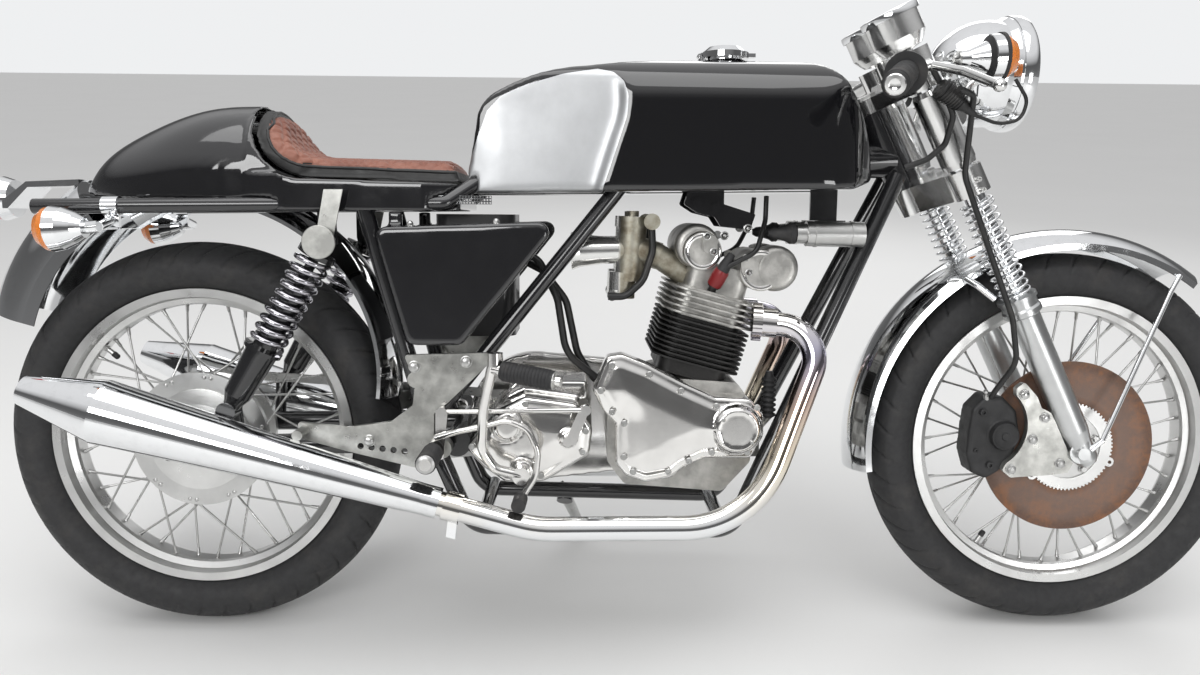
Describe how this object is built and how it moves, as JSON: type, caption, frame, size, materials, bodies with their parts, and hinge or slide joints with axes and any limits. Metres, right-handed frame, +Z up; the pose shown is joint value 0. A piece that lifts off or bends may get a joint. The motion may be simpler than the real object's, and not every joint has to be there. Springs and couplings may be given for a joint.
{
  "type": "motorcycle",
  "caption": "Black and polished cafe racer motorcycle on its side stand, with upright finned twin engine, spoked wheels, clip-on bars, solo humped seat and megaphone silencers.",
  "frame": {"origin": "under the middle of the whole machine as it is parked, on the floor", "axes": "+X forward, +Y to the rider's left, +Z up; the machine leans 10 degrees to +Y on its side stand"},
  "size_m": [2.106, 0.6646, 1.0289],
  "materials": {
    "tyre": "matt rubber",
    "rubber": "satin rubber",
    "chrome": "mirror chrome",
    "alloy": "polished",
    "black_paint": "gloss",
    "steel": "zinc plated",
    "rusty_iron": "rusty",
    "iron": "black paint",
    "leather": "quilted",
    "amber": "clear amber",
    "red": "clear red",
    "clear": "clear"
  },
  "bodies": {
    "chassis": {"barrel": "iron", "carburettors": "alloy", "cradle_plates": "alloy", "crankcase": "alloy", "cylinder_head": "alloy", "drive_chain": "steel", "exhaust_pipes": "chrome", "foot_controls": "steel", "frame_lower_loop": "black_paint", "frame_rear_loop": "black_paint", "frame_spine": "black_paint", "fuel_tank": "black_paint", "gearbox": "alloy", "hoses": "rubber", "ignition_coils": "steel", "oil_tank": "black_paint", "pedal_rubbers": "rubber", "primary_cover": "alloy", "rear_indicator_lenses": "amber", "rear_indicators": "chrome", "rear_mudguard": "chrome", "rocker_covers": "alloy", "seat_pad": "leather", "seat_unit": "black_paint", "shock_dampers": "black_paint", "shock_springs": "chrome", "side_panels": "black_paint", "silencers": "chrome", "swingarm": "alloy", "tail_lamp": "chrome", "tail_lamp_lens": "red", "timing_cover": "alloy"},
    "fork": {"headlamp_brackets": "chrome", "stanchions": "chrome", "fork_yokes": "alloy", "fork_sliders": "alloy", "fork_springs": "steel", "front_mudguard": "chrome", "caliper_plate": "alloy", "brake_caliper": "iron", "headlamp_shell": "chrome", "headlamp_glass": "clear", "instruments": "alloy", "clip_on_bars": "chrome", "grips": "rubber", "levers": "alloy", "front_indicators": "chrome", "front_indicator_lenses": "amber", "control_cables": "rubber"},
    "front_wheel": {"front_tyre": "tyre", "front_rim": "alloy", "front_hub": "alloy", "front_spokes": "steel", "brake_disc": "rusty_iron"},
    "rear_wheel": {"rear_tyre": "tyre", "rear_rim": "alloy", "rear_hub": "alloy", "rear_spokes": "steel"},
    "side_stand": {"side_stand": "steel"},
    "filler_cap": {"filler_cap": "chrome"}
  },
  "joints": [
    {"name": "steering", "type": "hinge", "parent": "chassis", "child": "fork", "pos_m": [0.4329, -0.01258, 0.78879], "axis": [-0.4462, 0.1554, 0.8813], "range_deg": [-26, 26]},
    {"name": "front_wheel_spin", "type": "hinge", "parent": "fork", "child": "front_wheel", "pos_m": [0.734, -0.09611, 0.3151], "axis": [0, 0.9848, -0.1736], "continuous": true},
    {"name": "rear_wheel_spin", "type": "hinge", "parent": "chassis", "child": "rear_wheel", "pos_m": [-0.707, -0.09529, 0.31972], "axis": [0, 0.9848, -0.1736], "continuous": true},
    {"name": "side_stand_fold", "type": "hinge", "parent": "chassis", "child": "side_stand", "pos_m": [-0.107, 0.00512, 0.15204], "axis": [0.0751, 0.7407, 0.6676], "range_deg": [0, 98]},
    {"name": "filler_cap_flip", "type": "hinge", "parent": "chassis", "child": "filler_cap", "pos_m": [0.113, 0.01416, 0.94045], "axis": [0, -0.9848, 0.1736], "range_deg": [0, 100]}
  ]
}
